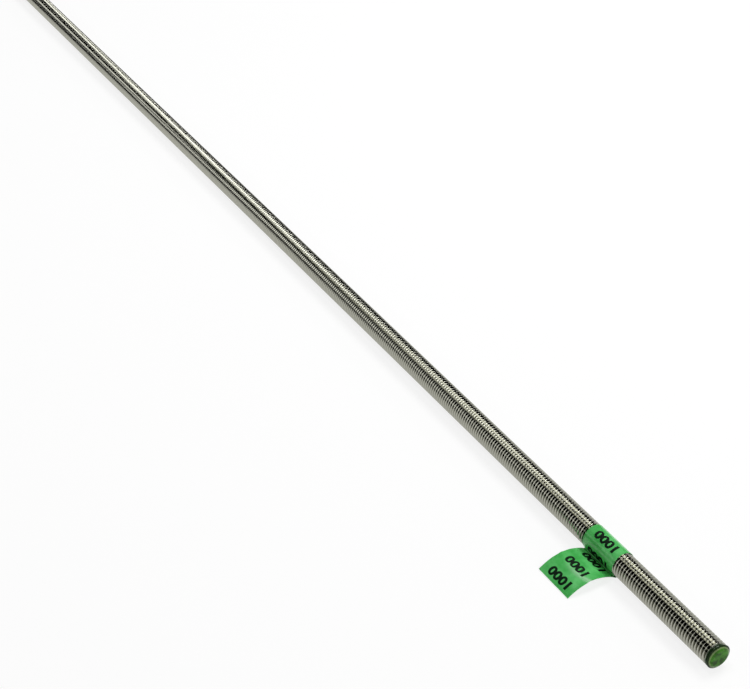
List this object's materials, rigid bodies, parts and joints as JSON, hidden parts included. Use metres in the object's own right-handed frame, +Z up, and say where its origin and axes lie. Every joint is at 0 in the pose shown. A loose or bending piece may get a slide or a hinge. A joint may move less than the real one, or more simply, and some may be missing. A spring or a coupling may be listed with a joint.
{
  "type": "threaded rod",
  "caption": "Long straight steel rod, threaded from end to end, with a green painted end and a curled green tape flag wrapped round it near that end.",
  "frame": {"origin": "centre of the plain end face, on the rod's axis", "axes": "+X along the rod towards its painted end, +Z up from the surface it lies on, -Y towards the label's flag"},
  "size_m": [1.0001, 0.0305, 0.0104],
  "materials": {
    "steel": "rolled thread, bright",
    "paint": "brushed-on gloss paint",
    "tape": "satin film",
    "ink": "printed, matt"
  },
  "bodies": {
    "root": {"threaded_rod": "steel", "end_paint": "paint", "label": "tape", "label_print": "ink"}
  },
  "joints": []
}
